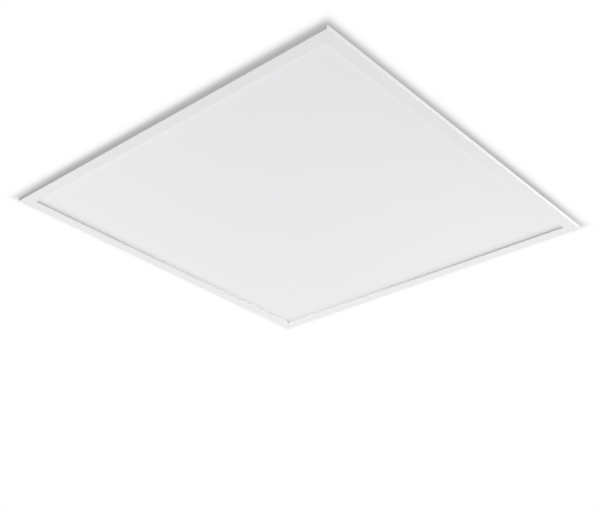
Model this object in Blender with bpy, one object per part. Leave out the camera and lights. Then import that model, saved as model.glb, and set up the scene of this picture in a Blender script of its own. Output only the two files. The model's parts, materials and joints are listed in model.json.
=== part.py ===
"""Slim edge-lit LED ceiling panel, 595 mm square, with sprung clips and its driver on the back.

Metres, +Z up into the ceiling void. The origin is the centre of the lip's lower face, so the panel
stands face down on z = 0. A depth is counted from the frame's outer edge towards the middle.
"""

import math

import bmesh
import bpy
from mathutils import Matrix, Vector
from mathutils.geometry import tessellate_polygon

MM = 0.001

# Driving dimensions
PANEL_SIDE = 595 * MM
LIP_WIDTH = 18 * MM
RIM_HEIGHT = 6.2 * MM
PLATE_DEPTH = 7 * MM  # from the rim in to the body that enters the ceiling
SHEET_WALL = 1.2 * MM  # the extrusion's walls
LIP_THICKNESS = 1.4 * MM
DIFFUSER_SEAT = 3.0 * MM
FIT = 0.2 * MM  # between pieces that touch
MITRE_GAP = 0.05 * MM
CLIP_SPACING = 380 * MM
CLIP_SLOPE = math.radians(5)
CLIP_REACH = 40 * MM
DRIVER_LENGTH = 150 * MM
DRIVER_WIDTH = 44 * MM
DRIVER_CENTRE = (105 * MM, 227 * MM)

# Worked out from them
HALF = PANEL_SIDE / 2
WALL_INNER = PLATE_DEPTH + 5.2 * MM  # inner face of the upright wall
WALL_OUTER = WALL_INNER - SHEET_WALL
RIB_INNER = PLATE_DEPTH + SHEET_WALL
CHANNEL_DEPTH = (RIB_INNER + WALL_OUTER) / 2  # the screw channel's middle
DIFFUSER_THICKNESS = 1.5 * MM
GUIDE_THICKNESS = 2.0 * MM
REFLECTOR_THICKNESS = 0.3 * MM
FOAM_THICKNESS = 1.0 * MM
SHEET_THICKNESS = 0.6 * MM
DIFFUSER_Z = DIFFUSER_SEAT + FIT
GUIDE_Z = DIFFUSER_Z + DIFFUSER_THICKNESS + FIT
REFLECTOR_Z = GUIDE_Z + GUIDE_THICKNESS + FIT
FOAM_Z = REFLECTOR_Z + REFLECTOR_THICKNESS + FIT
WALL_TOP = FOAM_Z + FOAM_THICKNESS
SHEET_Z = WALL_TOP + FIT
SHEET_TOP = SHEET_Z + SHEET_THICKNESS
BEAD_HEIGHT = 1.2 * MM
BEAD_MIDDLES = (266 * MM, 135 * MM)
CORNER_CUT = 34.5 * MM  # the two depths along a plate's cut corner add up to this
BOARD_THICKNESS = 1.0 * MM
PACKAGE_HEIGHT = 0.7 * MM
BAR_DEPTH = WALL_INNER + FIT
DIFFUSER_DEPTH = BAR_DEPTH + BOARD_THICKNESS + 0.4 * MM
GUIDE_DEPTH = BAR_DEPTH + BOARD_THICKNESS + PACKAGE_HEIGHT + 0.3 * MM
BAR_LENGTH = PANEL_SIDE - 40 * MM
BAR_HEIGHT = 5.0 * MM
PACKAGES = 46
GROMMET_DEPTH = 15.2 * MM  # from both edges of the rear right corner
LEAD_RADIUS = 1.6 * MM

# The spring clip, with depths from the frame's outer edge
BRACKET_THICKNESS = 1.2 * MM
BRACKET_HALF_WIDTH = 15.2 * MM
BRACKET_Z = SHEET_TOP + FIT
BRACKET_TOP = BRACKET_Z + BRACKET_THICKNESS
BRACKET_FRONT = PLATE_DEPTH + FIT
BRACKET_BACK = 25 * MM
CLIP_SCREW_SPREAD = 6.0 * MM
STOP_TAB_INNER = 9.6 * MM
PIN_DEPTH = 16 * MM
PIN_Z = 17 * MM
PIN_RADIUS = 1.5 * MM
WIRE_RADIUS = 1.0 * MM
COIL_RADIUS = 3.7 * MM
COIL_TURNS = 3
LEG_OFFSET = 12.3 * MM

# Screws
SCREW_RADIUS = 1.25 * MM
HEAD_RADIUS = 2.8 * MM
HEAD_HEIGHT = 2.0 * MM
SCREW_HOLE = 1.6 * MM
CHANNEL_FLOOR = RIM_HEIGHT + FIT

# The driver, with heights from the underside of its case
TAPE_THICKNESS = 1.0 * MM
CASE_Z = SHEET_TOP + TAPE_THICKNESS + 2 * FIT
CASE_WALL = 1.8 * MM
BASE_HEIGHT = 14 * MM
LID_HEIGHT = 9 * MM
CASE_TOP = BASE_HEIGHT + FIT + LID_HEIGHT
HINGE_X = -42 * MM
HINGE_GAP = 2.3 * MM
KNUCKLE_RADIUS = 1.9 * MM
HINGE_BORE = 0.95 * MM
HINGE_PIN = 0.8 * MM
COVER_KNUCKLE = 7.6 * MM
OUTLET_Z = 8 * MM
LEDGE_TOP = 3.8 * MM
PCB_Z = LEDGE_TOP + FIT
PCB_TOP = PCB_Z + 1.6 * MM
SLIDER_TRAVEL = 2.5 * MM  # each way from the middle place
KNOB_HALF = 1.5 * MM
SLOT_HALF = KNOB_HALF + SLIDER_TRAVEL + 0.3 * MM
SLIDER_X = 20 * MM
SLIDER_Z = 9.0 * MM
BUTTON_TRAVEL = 1.2 * MM
BUTTON_OFFSET = 4 * MM
BUTTON_FOOT = 1.7 * MM  # below the terminal block's top
BUTTON_X = -51.5 * MM
TERMINAL_HEIGHT = 10 * MM
CLAMP_X = -67 * MM
CLAMP_Z = 10 * MM
CLAMP_SCREW_Y = 9 * MM

WHITE_COAT = ("white_coat", (0.86, 0.86, 0.85), 0.45, 0.0)
OPAL = ("opal", (0.88, 0.88, 0.89), 0.5, 0.0)
CLEAR = ("clear_acrylic", (0.80, 0.86, 0.86), 0.08, 0.0)
REFLECTIVE = ("reflector_white", (0.93, 0.93, 0.93), 0.3, 0.0)
FOAM = ("foam_white", (0.75, 0.75, 0.73), 0.9, 0.0)
PLATE_METAL = ("mill_aluminium", (0.72, 0.73, 0.74), 0.38, 1.0)
ZINC = ("zinc_plate", (0.66, 0.67, 0.68), 0.28, 1.0)
SPRING = ("spring_steel", (0.42, 0.42, 0.43), 0.3, 1.0)
CASTING = ("grey_plastic", (0.22, 0.22, 0.23), 0.6, 0.0)
LED_WHITE = ("led_board", (0.85, 0.85, 0.80), 0.4, 0.0)
CASE_WHITE = ("case_white", (0.80, 0.80, 0.79), 0.5, 0.0)
BOARD_GREEN = ("board_green", (0.05, 0.22, 0.10), 0.45, 0.0)
BLACK_RUBBER = ("black_rubber", (0.03, 0.03, 0.03), 0.75, 0.0)
LEAD_WHITE = ("lead_white", (0.74, 0.74, 0.72), 0.55, 0.0)
WINDING = ("winding_tape", (0.75, 0.62, 0.18), 0.5, 0.0)
CAN_BLACK = ("can_black", (0.04, 0.04, 0.06), 0.35, 0.0)
BUTTON_ORANGE = ("button_orange", (0.80, 0.28, 0.04), 0.5, 0.0)
KNOB_BLACK = ("knob_black", (0.04, 0.04, 0.04), 0.5, 0.0)
TERMINAL_GREY = ("terminal_grey", (0.45, 0.46, 0.47), 0.5, 0.0)


def clear_scene():
    for thing in list(bpy.data.objects):
        bpy.data.objects.remove(thing, do_unlink=True)


def material(kind):
    """The Principled material of this kind, made the first time it is asked for."""
    name, colour, roughness, metallic = kind
    found = bpy.data.materials.get(name)
    if found:
        return found
    made = bpy.data.materials.new(name)
    made.use_nodes = True
    shader = made.node_tree.nodes["Principled BSDF"]
    shader.inputs["Base Color"].default_value = (*colour, 1.0)
    shader.inputs["Roughness"].default_value = roughness
    shader.inputs["Metallic"].default_value = metallic
    return made


def place(name, mesh, kind, where=(0, 0, 0), turn=0.0, smooth=False):
    """An object of this mesh at a place, turned about Z."""
    mesh.materials.clear()
    mesh.materials.append(material(kind))
    if smooth:
        mesh.shade_smooth()
        mesh.set_sharp_from_angle(angle=math.radians(35))
    thing = bpy.data.objects.new(name, mesh)
    thing.location = where
    thing.rotation_euler.z = turn
    bpy.context.scene.collection.objects.link(thing)
    return thing


def mesh_of(shape, name):
    """Ends a bmesh and gives its mesh, faces pointing out."""
    bmesh.ops.remove_doubles(shape, verts=shape.verts, dist=1e-7)
    bmesh.ops.recalc_face_normals(shape, faces=shape.faces)
    mesh = bpy.data.meshes.new(name)
    shape.to_mesh(mesh)
    shape.free()
    return mesh


def prism(loops, low, high, name):
    """A mesh between two levels. loops holds an outline, then any holes, as (x, y) points."""
    shape = bmesh.new()
    flat = [Vector((x, y, 0)) for loop in loops for x, y in loop]
    triangles = tessellate_polygon([[Vector((x, y, 0)) for x, y in loop] for loop in loops])
    levels = [[shape.verts.new((p.x, p.y, z)) for p in flat] for z in (low, high)]
    for level in levels:
        for triangle in triangles:
            shape.faces.new([level[i] for i in triangle])
    start = 0
    for loop in loops:
        for i in range(len(loop)):
            a = start + i
            b = start + (i + 1) % len(loop)
            shape.faces.new([levels[0][a], levels[0][b], levels[1][b], levels[1][a]])
        start += len(loop)
    return mesh_of(shape, name)


def box_mesh(low, high, name="box"):
    outline = rectangle(low[0], low[1], high[0], high[1])
    return prism([outline], low[2], high[2], name)


def rectangle(x0, y0, x1, y1):
    return [(x0, y0), (x1, y0), (x1, y1), (x0, y1)]


def rounded(x0, y0, x1, y1, radius, steps=3):
    """A rectangle's outline with round corners."""
    points = []
    corners = ((x1, y1, 0), (x0, y1, 90), (x0, y0, 180), (x1, y0, 270))
    for x, y, start in corners:
        cx = x - math.copysign(radius, x - (x0 + x1) / 2)
        cy = y - math.copysign(radius, y - (y0 + y1) / 2)
        points += arc(cx, cy, radius, start, start + 90, steps)
    return points


def arc(cx, cy, radius, start, end, steps):
    angles = [math.radians(start + (end - start) * i / steps) for i in range(steps + 1)]
    return [(cx + radius * math.cos(a), cy + radius * math.sin(a)) for a in angles]


def circle(cx, cy, radius, steps=16):
    return arc(cx, cy, radius, 0, 360, steps)[:-1]


def turned(profile, steps, name):
    """A solid turned about Z from (radius, height) points that begin and end on the axis."""
    shape = bmesh.new()
    verts = [shape.verts.new((r, 0, z)) for r, z in profile]
    for a, b in zip(verts, verts[1:]):
        shape.edges.new((a, b))
    bmesh.ops.spin(
        shape, geom=shape.verts[:] + shape.edges[:], axis=(0, 0, 1), cent=(0, 0, 0),
        steps=steps, angle=math.tau, use_merge=True,
    )
    return mesh_of(shape, name)


def aim(mesh, matrix):
    """The mesh moved by a matrix, to aim a turned piece or an extrusion along another axis."""
    mesh.transform(matrix)
    return mesh


def along_x(mesh):
    return aim(mesh, Matrix.Rotation(math.pi / 2, 4, "Y"))


def along_y(mesh):
    return aim(mesh, Matrix.Rotation(math.pi / 2, 4, "X"))


def moved(mesh, x, y, z):
    return aim(mesh, Matrix.Translation((x, y, z)))


def combine(mesh, others, operation, name):
    """The mesh joined with, or cut by, each of the others in turn."""
    base = bpy.data.objects.new(name, mesh)
    bpy.context.scene.collection.objects.link(base)
    tools = []
    for other in others:
        tool = bpy.data.objects.new(name + "_tool", other)
        bpy.context.scene.collection.objects.link(tool)
        modifier = base.modifiers.new("combine", "BOOLEAN")
        modifier.object = tool
        modifier.operation = operation
        tools.append(tool)
    graph = bpy.context.evaluated_depsgraph_get()
    done = bpy.data.meshes.new_from_object(base.evaluated_get(graph))
    done.name = name
    for thing in [base, *tools]:
        bpy.data.objects.remove(thing, do_unlink=True)
    return done


def cut(mesh, cutters, name):
    return combine(mesh, cutters, "DIFFERENCE", name)


def joined(mesh, others, name):
    return combine(mesh, others, "UNION", name)


def tube_mesh(points, radius, sides, name):
    """A closed tube through the points, its rings carried along without twist."""
    shape = bmesh.new()
    points = [Vector(p) for p in points]
    rings = []
    tangent = (points[1] - points[0]).normalized()
    side = tangent.orthogonal().normalized()
    for i, point in enumerate(points):
        before = points[max(i - 1, 0)]
        after = points[min(i + 1, len(points) - 1)]
        new_tangent = (after - before).normalized()
        side = tangent.rotation_difference(new_tangent) @ side
        tangent = new_tangent
        up = tangent.cross(side)
        ring = []
        for k in range(sides):
            angle = math.tau * k / sides
            ring.append(shape.verts.new(point + radius * (math.cos(angle) * side + math.sin(angle) * up)))
        rings.append(ring)
    for low, high in zip(rings, rings[1:]):
        for k in range(sides):
            m = (k + 1) % sides
            shape.faces.new([low[k], low[m], high[m], high[k]])
    shape.faces.new(rings[0][::-1])
    shape.faces.new(rings[-1])
    return mesh_of(shape, name)


def smooth_route(stations, per_span):
    """Points along a Catmull-Rom curve through hand-chosen stations."""
    ends = [stations[0], *stations, stations[-1]]
    points = []
    for i in range(1, len(ends) - 2):
        p0, p1, p2, p3 = (Vector(p) for p in ends[i - 1 : i + 3])
        for k in range(per_span):
            t = k / per_span
            points.append(
                0.5 * (2 * p1 + (p2 - p0) * t + (2 * p0 - 5 * p1 + 4 * p2 - p3) * t**2
                       + (3 * p1 - p0 - 3 * p2 + p3) * t**3)
            )
    points.append(Vector(stations[-1]))
    return points


# Frame


def rail_section():
    """The extrusion's outline and its hollow cell, as (depth, height) points."""
    outer = arc(0.6 * MM, 0.6 * MM, 0.6 * MM, 180, 270, 3)
    outer += arc(LIP_WIDTH - 0.4 * MM, 0.4 * MM, 0.4 * MM, 270, 360, 3)
    outer += [(LIP_WIDTH, DIFFUSER_SEAT), (LIP_WIDTH - SHEET_WALL, DIFFUSER_SEAT)]
    outer += [(LIP_WIDTH - SHEET_WALL, LIP_THICKNESS), (WALL_INNER, LIP_THICKNESS)]
    outer += [(WALL_INNER, WALL_TOP), (WALL_OUTER, WALL_TOP), (WALL_OUTER, RIM_HEIGHT)]
    outer += [(RIB_INNER, RIM_HEIGHT), (RIB_INNER, WALL_TOP), (PLATE_DEPTH, WALL_TOP)]
    outer += [(PLATE_DEPTH, RIM_HEIGHT)]
    outer += arc(0.4 * MM, RIM_HEIGHT - 0.4 * MM, 0.4 * MM, 90, 180, 2)
    cell = rectangle(SHEET_WALL, LIP_THICKNESS, WALL_OUTER, RIM_HEIGHT - SHEET_WALL)
    return outer, cell


def rail_mesh():
    """The front rail: its section run between two mitred ends."""
    outer, cell = rail_section()
    shape = prism([outer, cell], -1, 1, "frame_rail")
    for vertex in shape.vertices:
        depth, height, end = vertex.co
        reach = HALF - depth - MITRE_GAP
        vertex.co = (math.copysign(reach, end), depth - HALF, height)
    healed = bmesh.new()
    healed.from_mesh(shape)
    return mesh_of(healed, "frame_rail")


def make_rails():
    mesh = rail_mesh()
    for i, side in enumerate(("front", "right", "rear", "left")):
        place(f"frame_rail_{side}", mesh, WHITE_COAT, turn=i * math.pi / 2, smooth=True)


def make_corner_keys():
    """An L in the hollow cells of each two rails that meet."""
    near = SHEET_WALL + FIT
    far = WALL_OUTER - FIT
    leg = 48 * MM
    tip = 2 * MM
    outline = [(near, near), (leg - tip, near), (leg, near + tip), (leg, far - tip), (leg - tip, far)]
    outline += [(far, far), (far, leg - tip), (far - tip, leg), (near + tip, leg), (near, leg - tip)]
    outline = [(x - HALF, y - HALF) for x, y in outline]
    mesh = prism([outline], LIP_THICKNESS + FIT, RIM_HEIGHT - SHEET_WALL - FIT, "corner_key")
    for i, corner in enumerate(("front_left", "front_right", "rear_right", "rear_left")):
        place(f"corner_key_{corner}", mesh, CASTING, turn=i * math.pi / 2)


# Optical stack


def cut_square(depth):
    """A square's outline with its corners cut, so that the bars' ends and the lead have room."""
    side = HALF - depth
    short = HALF - (CORNER_CUT - depth)
    first = [(short, -side), (side, -short)]
    points = []
    for i in range(4):
        turn = Matrix.Rotation(i * math.pi / 2, 2)
        points += [tuple(turn @ Vector(p)) for p in first]
    return points


def make_stack():
    """Diffuser, light guide, reflector and foam, from the face up."""
    layers = (
        ("diffuser_plate", DIFFUSER_DEPTH, DIFFUSER_Z, DIFFUSER_THICKNESS, OPAL),
        ("light_guide_plate", GUIDE_DEPTH, GUIDE_Z, GUIDE_THICKNESS, CLEAR),
        ("reflector_sheet", GUIDE_DEPTH, REFLECTOR_Z, REFLECTOR_THICKNESS, REFLECTIVE),
        ("foam_pad", GUIDE_DEPTH, FOAM_Z, FOAM_THICKNESS - FIT, FOAM),
    )
    for name, depth, low, thickness, kind in layers:
        place(name, prism([cut_square(depth)], low, low + thickness, name), kind)


def pressed_profile():
    """Half-widths and heights of the back plate's squares, from the middle out, with two beads."""
    slope = 1.5 * MM
    flat = 3.5 * MM
    profile = []
    for middle in sorted(BEAD_MIDDLES):
        profile += [(middle - flat - slope, 0), (middle - flat, BEAD_HEIGHT)]
        profile += [(middle + flat, BEAD_HEIGHT), (middle + flat + slope, 0)]
    return profile + [(HALF - PLATE_DEPTH, 0)]


def square_ring(shape, half, height):
    outline = rounded(-half, -half, half, half, 4 * MM, 2)
    return [shape.verts.new((x, y, height)) for x, y in outline]


def back_plate_blank():
    """The pressed sheet before its holes: two skins of nested squares, closed round the edge."""
    shape = bmesh.new()
    skins = []
    for base in (SHEET_Z, SHEET_TOP):
        rings = [square_ring(shape, half, base + height) for half, height in pressed_profile()]
        shape.faces.new(rings[0])
        for inner, outer in zip(rings, rings[1:]):
            stitch(shape, inner, outer)
        skins.append(rings)
    stitch(shape, skins[0][-1], skins[1][-1])
    return mesh_of(shape, "back_plate")


def stitch(shape, first, second):
    for i in range(len(first)):
        k = (i + 1) % len(first)
        shape.faces.new([first[i], first[k], second[k], second[i]])


def plate_screw_places():
    """Two screws at each left and right rail, beside the eight that also hold the clips."""
    reach = HALF - CHANNEL_DEPTH
    return [(x, y) for x in (-reach, reach) for y in (-CLIP_SPACING / 2, CLIP_SPACING / 2)]


def clip_screw_places():
    reach = HALF - CHANNEL_DEPTH
    across = [
        middle + offset
        for middle in (-CLIP_SPACING / 2, CLIP_SPACING / 2)
        for offset in (-CLIP_SCREW_SPREAD, CLIP_SCREW_SPREAD)
    ]
    return [(x, y) for y in (-reach, reach) for x in across]


def make_back_plate():
    holes = []
    for x, y in plate_screw_places() + clip_screw_places():
        holes.append(prism([circle(x, y, SCREW_HOLE, 12)], 0, 20 * MM, "hole"))
    corner = HALF - GROMMET_DEPTH
    holes.append(prism([circle(corner, corner, 2.2 * MM)], 0, 20 * MM, "hole"))
    place("back_plate", cut(back_plate_blank(), holes, "back_plate"), PLATE_METAL)


# Light source


def led_bar_mesh():
    """A board stood along the right rail, with its row of packages raised from its inner face."""
    shape = bmesh.new()
    pitch = BAR_LENGTH / PACKAGES
    half_package = 1.5 * MM
    stops = [-BAR_LENGTH / 2]
    for i in range(PACKAGES):
        middle = -BAR_LENGTH / 2 + (i + 0.5) * pitch
        stops += [middle - half_package, middle + half_package]
    stops.append(BAR_LENGTH / 2)
    middle_z = GUIDE_Z + GUIDE_THICKNESS / 2
    offsets = (-BAR_HEIGHT / 2, -0.7 * MM, 0.7 * MM, BAR_HEIGHT / 2)
    heights = [middle_z + offset for offset in offsets]
    face_x = HALF - BAR_DEPTH - BOARD_THICKNESS
    grid = [[shape.verts.new((face_x, y, z)) for z in heights] for y in stops]
    packages = []
    for i in range(len(stops) - 1):
        for k in range(3):
            face = shape.faces.new([grid[i][k], grid[i + 1][k], grid[i + 1][k + 1], grid[i][k + 1]])
            if k == 1 and i % 2:
                packages.append(face)
    back = [[shape.verts.new((HALF - BAR_DEPTH, y, z)) for z in heights] for y in (stops[0], stops[-1])]
    for k in range(3):
        shape.faces.new([back[0][k], back[0][k + 1], back[1][k + 1], back[1][k]])
        shape.faces.new([grid[0][k], grid[0][k + 1], back[0][k + 1], back[0][k]])
        shape.faces.new([grid[-1][k], back[1][k], back[1][k + 1], grid[-1][k + 1]])
    for k in (0, 3):
        shape.faces.new([row[k] for row in grid] + [back[1][k], back[0][k]])
    for face in packages:
        raised = bmesh.ops.extrude_discrete_faces(shape, faces=[face])["faces"][0]
        bmesh.ops.translate(shape, verts=raised.verts, vec=(-PACKAGE_HEIGHT, 0, 0))
    return mesh_of(shape, "led_bar")


def make_led_bars():
    mesh = led_bar_mesh()
    place("led_bar_right", mesh, LED_WHITE)
    place("led_bar_left", mesh, LED_WHITE, turn=math.pi)


def make_link_wire():
    """The wire in the rear rail that feeds the left bar from the right one."""
    radius = 0.7 * MM
    run = HALF - WALL_INNER - 1.0 * MM
    end_y = BAR_LENGTH / 2 + 1.6 * MM
    low = LIP_THICKNESS + radius + FIT
    high = GUIDE_Z + 0.6 * MM
    corner = run - 2 * MM
    right = [(run, end_y, high), (run, end_y, low + MM), (run, end_y + MM, low), (run, corner, low)]
    right += [(run - 0.6 * MM, run - 0.6 * MM, low), (corner, run, low)]
    left = [(-x, y, z) for x, y, z in reversed(right)]
    place("led_link_wire", tube_mesh(right + left, radius, 6, "led_link_wire"), LEAD_WHITE, smooth=True)


# Fasteners


def screw_mesh(length):
    """A pan-head screw, its head standing on z = 0, with a cross recess."""
    profile = [(0, -length), (SCREW_RADIUS * 0.4, -length), (SCREW_RADIUS, -length + MM)]
    profile += [(SCREW_RADIUS, 0), (HEAD_RADIUS, 0), (HEAD_RADIUS, HEAD_HEIGHT * 0.45)]
    profile += [(HEAD_RADIUS * 0.8, HEAD_HEIGHT * 0.85), (HEAD_RADIUS * 0.35, HEAD_HEIGHT)]
    profile += [(0, HEAD_HEIGHT)]
    blank = turned(profile, 12, "screw")
    reach = 1.5 * MM
    slot = 0.32 * MM
    cross = [(slot, slot), (reach, slot), (reach, -slot), (slot, -slot)]
    outline = []
    for i in range(4):
        turn = Matrix.Rotation(-i * math.pi / 2, 2)
        outline += [tuple(turn @ Vector(p)) for p in cross[:3]]
    recess = prism([outline], HEAD_HEIGHT * 0.5, HEAD_HEIGHT * 2, "recess")
    return cut(blank, [recess], "screw")


def make_frame_screws():
    head_low = SHEET_TOP + 0.1 * MM
    plate_screw = screw_mesh(head_low - CHANNEL_FLOOR)
    for i, (x, y) in enumerate(plate_screw_places()):
        place(f"plate_screw_{i + 1}", plate_screw, ZINC, (x, y, head_low), turn=0.4 + i, smooth=True)
    clip_low = BRACKET_TOP + 0.1 * MM
    clip_screw = screw_mesh(clip_low - CHANNEL_FLOOR)
    for i, (x, y) in enumerate(clip_screw_places()):
        place(f"clip_screw_{i + 1}", clip_screw, ZINC, (x, y, clip_low), turn=0.9 * i, smooth=True)


# Spring clips, modelled at the middle of the front rail


def bracket_mesh():
    """A folded steel bracket: base, two stop tabs in front, and two ears that hold the pin."""
    front = BRACKET_FRONT - HALF
    back = BRACKET_BACK - HALF
    spread = (-CLIP_SCREW_SPREAD, CLIP_SCREW_SPREAD)
    holes = [circle(x, CHANNEL_DEPTH - HALF, SCREW_HOLE, 12) for x in spread]
    corner = 2 * MM
    inset = BRACKET_HALF_WIDTH - corner
    base_outline = [(-BRACKET_HALF_WIDTH, front), (BRACKET_HALF_WIDTH, front)]
    base_outline += arc(inset, back - corner, corner, 0, 90, 2)
    base_outline += arc(-inset, back - corner, corner, 90, 180, 2)
    base = prism([base_outline, *holes], BRACKET_Z, BRACKET_TOP, "clip_bracket")
    leg_height = PIN_Z - math.tan(CLIP_SLOPE) * (PIN_DEPTH - BRACKET_FRONT - BRACKET_THICKNESS / 2)
    stop_top = leg_height - WIRE_RADIUS / math.cos(CLIP_SLOPE) - FIT
    tabs = []
    for side in (-1, 1):
        ends = sorted((side * STOP_TAB_INNER, side * (BRACKET_HALF_WIDTH - FIT)))
        low = (ends[0], front + FIT, BRACKET_Z + FIT)
        tabs.append(box_mesh(low, (ends[1], front + BRACKET_THICKNESS, stop_top)))
    return joined(base, [*tabs, ear_mesh(-1), ear_mesh(1)], "clip_bracket")


def ear_mesh(side):
    """One ear: an upright plate with a round top and the pin's hole, on the bracket's left or right."""
    half_width = 4.5 * MM
    foot = BRACKET_Z + FIT
    outline = [(half_width, foot), *arc(0, PIN_Z, half_width, 0, 180, 8), (-half_width, foot)]
    hole = circle(0, PIN_Z, PIN_RADIUS + 0.1 * MM, 14)
    inner = BRACKET_HALF_WIDTH - BRACKET_THICKNESS
    ear = prism([outline, hole], inner, BRACKET_HALF_WIDTH, "ear")
    swap = Matrix(((0, 0, side, 0), (1, 0, 0, PIN_DEPTH - HALF), (0, 1, 0, 0), (0, 0, 0, 1)))
    ear.transform(swap)
    if side < 0:
        ear.flip_normals()
    return ear


def pin_mesh():
    """The clip's pin, peened over at both ends, along X through its own origin."""
    end = BRACKET_HALF_WIDTH + 0.1 * MM
    head = PIN_RADIUS + 0.9 * MM
    profile = [(0, -end - 1.1 * MM), (head * 0.6, -end - 1.1 * MM), (head, -end - 0.5 * MM), (head, -end)]
    profile += [(PIN_RADIUS, -end), (PIN_RADIUS, end), (head, end), (head, end + 0.5 * MM)]
    profile += [(head * 0.6, end + 1.1 * MM), (0, end + 1.1 * MM)]
    return along_x(turned(profile, 14, "clip_pin"))


def coil_points(side):
    """One coil round the pin, from its inner end to where its leg leaves it, about the origin."""
    per_turn = 10
    pitch = 2 * WIRE_RADIUS + 0.15 * MM
    width = pitch * COIL_TURNS
    count = int(per_turn * COIL_TURNS)
    points = []
    for i in range(count + 1):
        angle = math.pi / 2 + CLIP_SLOPE + math.tau * (i - count) / per_turn
        x = LEG_OFFSET - width * (count - i) / count
        points.append((side * x, COIL_RADIUS * math.cos(angle), COIL_RADIUS * math.sin(angle)))
    return points


def arm_mesh():
    """The double torsion spring whose long loop is the clip's arm, about its pin's axis."""
    down = Matrix.Rotation(CLIP_SLOPE, 3, "X")
    tangent_z = COIL_RADIUS
    corner = 4 * MM
    right = [Vector(p) for p in coil_points(1)]
    loop = [(LEG_OFFSET, -CLIP_REACH * 0.3, tangent_z * 0.35), (LEG_OFFSET, -CLIP_REACH * 0.55, 0)]
    loop += [(LEG_OFFSET, -CLIP_REACH + corner, 0)]
    bend = arc(LEG_OFFSET - corner, -CLIP_REACH + corner, corner, 0, -90, 4)
    loop += [(x, y, 0) for x, y in bend[1:]]
    loop = [down @ Vector(p) for p in loop]
    right_half = right + loop
    left_half = [Vector((-p.x, p.y, p.z)) for p in reversed(right_half)]
    return tube_mesh(right_half + left_half, WIRE_RADIUS, 6, "clip_arm")


def make_clips():
    """Two clips on the front rail and two on the rear one, each arm reaching out over the ceiling."""
    bracket = bracket_mesh()
    pin = pin_mesh()
    arm = arm_mesh()
    places = (
        ("front_left", -1, 0),
        ("front_right", 1, 0),
        ("rear_right", -1, math.pi),
        ("rear_left", 1, math.pi),
    )
    for name, side, turn in places:
        spin = Matrix.Rotation(turn, 3, "Z")
        along = side * CLIP_SPACING / 2
        place(f"clip_bracket_{name}", bracket, ZINC, spin @ Vector((along, 0, 0)), turn)
        axis_point = spin @ Vector((along, PIN_DEPTH - HALF, PIN_Z))
        place(f"clip_pin_{name}", pin, ZINC, axis_point, turn, smooth=True)
        place(f"clip_arm_{name}", arm, SPRING, axis_point, turn, smooth=True)


# Driver, modelled about the middle of its case's underside


def driver_place(x=0.0, y=0.0, z=0.0):
    return (DRIVER_CENTRE[0] + x, DRIVER_CENTRE[1] + y, CASE_Z + z)


def make_driver_tape():
    low = SHEET_TOP + FIT - CASE_Z
    half_x = DRIVER_LENGTH / 2 - 8 * MM
    half_y = DRIVER_WIDTH / 2 - 5 * MM
    mesh = box_mesh((-half_x, -half_y, low), (half_x, half_y, low + TAPE_THICKNESS), "driver_tape")
    place("driver_tape", mesh, FOAM, driver_place())


def make_driver_base():
    """The lower case: an open tray with board ledges, clamp posts, a cord notch and a switch slot."""
    end = DRIVER_LENGTH / 2
    side = DRIVER_WIDTH / 2
    tray = prism([rounded(-end, -side, end, side, 3 * MM)], 0, BASE_HEIGHT, "driver_base")
    inside = rounded(-end + CASE_WALL, -side + CASE_WALL, end - CASE_WALL, side - CASE_WALL, 1.4 * MM)
    hollow = prism([inside], CASE_WALL, BASE_HEIGHT + MM, "hollow")
    notch = box_mesh((-end - MM, -4.2 * MM, 3.6 * MM), (-end + 3 * MM, 4.2 * MM, BASE_HEIGHT + MM))
    slot = box_mesh(
        (SLIDER_X - SLOT_HALF, -side - MM, SLIDER_Z - 1.6 * MM),
        (SLIDER_X + SLOT_HALF, -side + 3 * MM, SLIDER_Z + 1.6 * MM),
    )
    outlet = along_x(prism([circle(0, 0, LEAD_RADIUS + 2 * FIT)], -4 * MM, 4 * MM, "outlet"))
    outlet = moved(outlet, end, 0, OUTLET_Z)
    shell = cut(tray, [hollow, notch, slot, outlet], "driver_base")
    extras = []
    for sign in (-1, 1):
        ledge_y = sorted((sign * (side - CASE_WALL + 0.3 * MM), sign * (side - 4.5 * MM)))
        extras.append(
            box_mesh((-44 * MM, ledge_y[0], CASE_WALL - 0.3 * MM), (68 * MM, ledge_y[1], LEDGE_TOP))
        )
        post = circle(CLAMP_X, sign * CLAMP_SCREW_Y, 2.6 * MM, 12)
        extras.append(prism([post], CASE_WALL - 0.3 * MM, CLAMP_Z - FIT, "post"))
    whole = joined(shell, extras, "driver_base")
    bores = []
    for sign in (-1, 1):
        bore = circle(CLAMP_X, sign * CLAMP_SCREW_Y, SCREW_RADIUS + 0.05 * MM, 12)
        bores.append(prism([bore], 4 * MM, CLAMP_Z + MM, "bore"))
    place("driver_base", cut(whole, bores, "driver_base"), CASE_WHITE, driver_place())


def knuckle(low_y, high_y, toward):
    """A hinge knuckle with a web that joins it to the lid (toward 1) or to the cover (toward -1)."""
    barrel = along_y(prism([circle(0, 0, KNUCKLE_RADIUS, 16)], -high_y, -low_y, "barrel"))
    web_x = sorted((0, toward * (HINGE_GAP + 0.6 * MM)))
    inset = 0.4 * MM
    web = box_mesh((web_x[0], low_y + inset, inset - CASE_WALL), (web_x[1], high_y - inset, -inset))
    return joined(barrel, [web], "knuckle")


def hinge_bore():
    bore = along_y(prism([circle(0, 0, HINGE_BORE, 12)], -DRIVER_WIDTH, DRIVER_WIDTH, "bore"))
    return moved(bore, HINGE_X, 0, CASE_TOP)


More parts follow.
